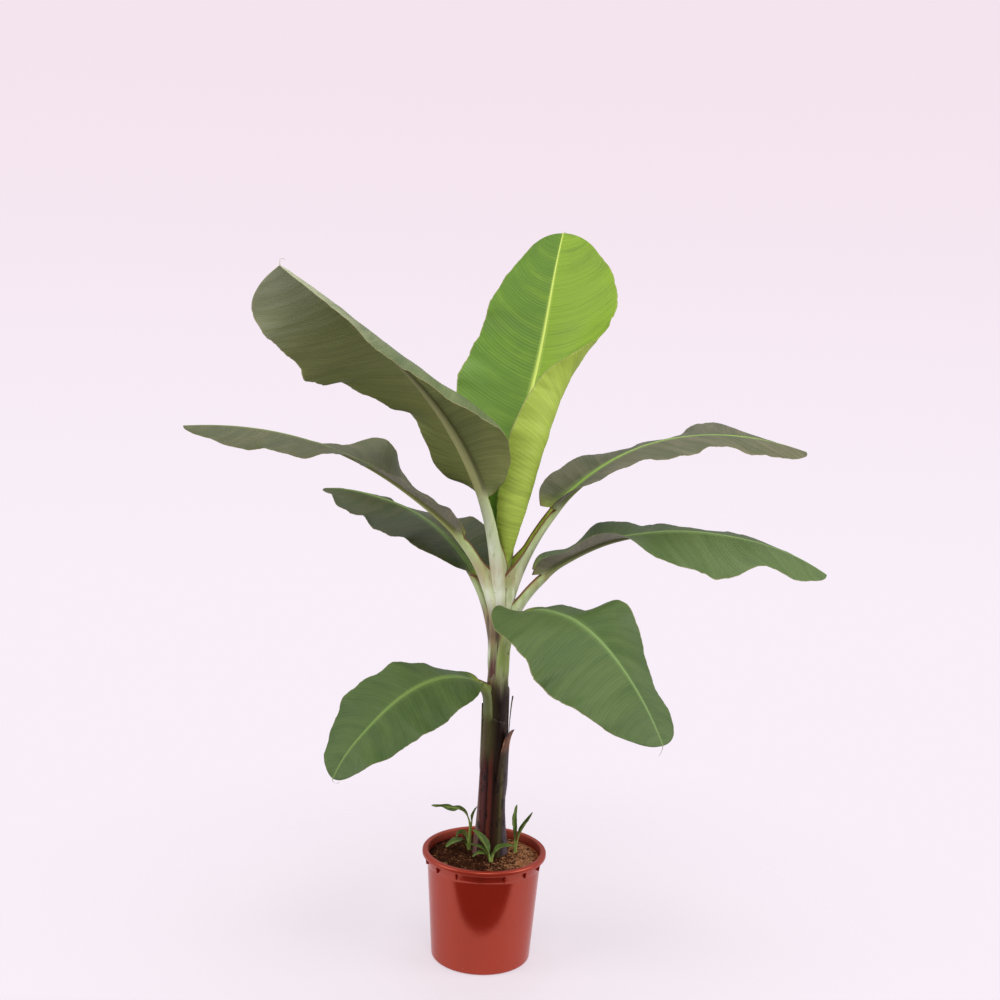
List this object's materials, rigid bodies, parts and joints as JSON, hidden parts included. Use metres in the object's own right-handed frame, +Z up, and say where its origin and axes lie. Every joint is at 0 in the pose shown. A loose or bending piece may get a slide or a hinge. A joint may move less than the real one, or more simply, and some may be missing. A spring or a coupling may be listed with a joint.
{
  "type": "potted banana plant",
  "caption": "Young banana plant in a round nursery pot: upright wrapped stem, long arching leaves with wavy margins, dried sheath ends and small shoots at its foot.",
  "frame": {"origin": "middle of the pot's flat underside, at floor level", "axes": "+Z up, -Y to the front that the plant is seen from, +X to the right of that view"},
  "size_m": [1.1773, 0.7245, 1.4042],
  "materials": {
    "pot": "thin semi-gloss terracotta-coloured moulded plastic",
    "soil": "moist fibrous compost",
    "trunk": "smooth wrapped sheaths, purple-brown low down and waxy green above",
    "young_leaf": "satin yellow-green leaf with fine cross veins",
    "leaf": "satin green leaf, grey-green and waxy below",
    "dry_sheath": "dry papery brown sheath",
    "shoot": "small fresh green shoot"
  },
  "bodies": {
    "root": {"pot": "pot", "soil": "soil", "trunk": "trunk", "leaf_centre": "young_leaf", "leaf_tall_left": "leaf", "leaf_upper_right": "leaf", "leaf_long_left": "leaf", "leaf_middle_right": "leaf", "leaf_back_left": "leaf", "leaf_low_right": "leaf", "leaf_low_left": "leaf", "old_sheath_left": "dry_sheath", "old_sheath_right": "dry_sheath", "old_sheath_front": "dry_sheath", "shoot_left": "shoot", "shoot_centre": "shoot", "shoot_right": "shoot"}
  },
  "joints": []
}
